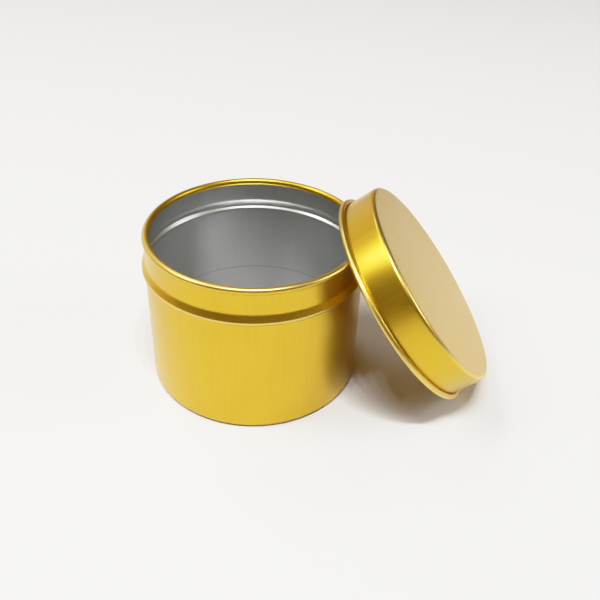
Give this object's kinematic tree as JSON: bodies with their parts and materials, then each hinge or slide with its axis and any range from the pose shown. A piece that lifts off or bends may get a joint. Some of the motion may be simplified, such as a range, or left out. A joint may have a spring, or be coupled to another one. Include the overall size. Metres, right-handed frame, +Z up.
{
  "type": "candle tin",
  "caption": "Round shallow tinplate container with a beaded neck and a rolled rim, its slip-on lid taken off and leaning against the side.",
  "frame": {"origin": "centre of the tin's foot ring, on the surface that the tin stands on", "axes": "+Z up along the tin's axis, +X from the tin's axis towards the lid that leans on it, +Y across"},
  "size_m": [0.1248, 0.08, 0.0685],
  "materials": {
    "gold_lacquer": "transparent gold lacquer over bright tinplate, satin, with fine drawing lines: the outside of the tin and both faces of the lid",
    "bare_tinplate": "bare bright tinplate inside the tin, semi-specular, with fine lines along the draw"
  },
  "bodies": {
    "tin": {"tin_body": "gold_lacquer"},
    "lid": {"lid": "gold_lacquer"}
  },
  "joints": [
    {"name": "lid_lift", "type": "slide", "parent": "tin", "child": "lid", "axis": [0, 0, 1], "range_m": [0, 0.09]}
  ]
}
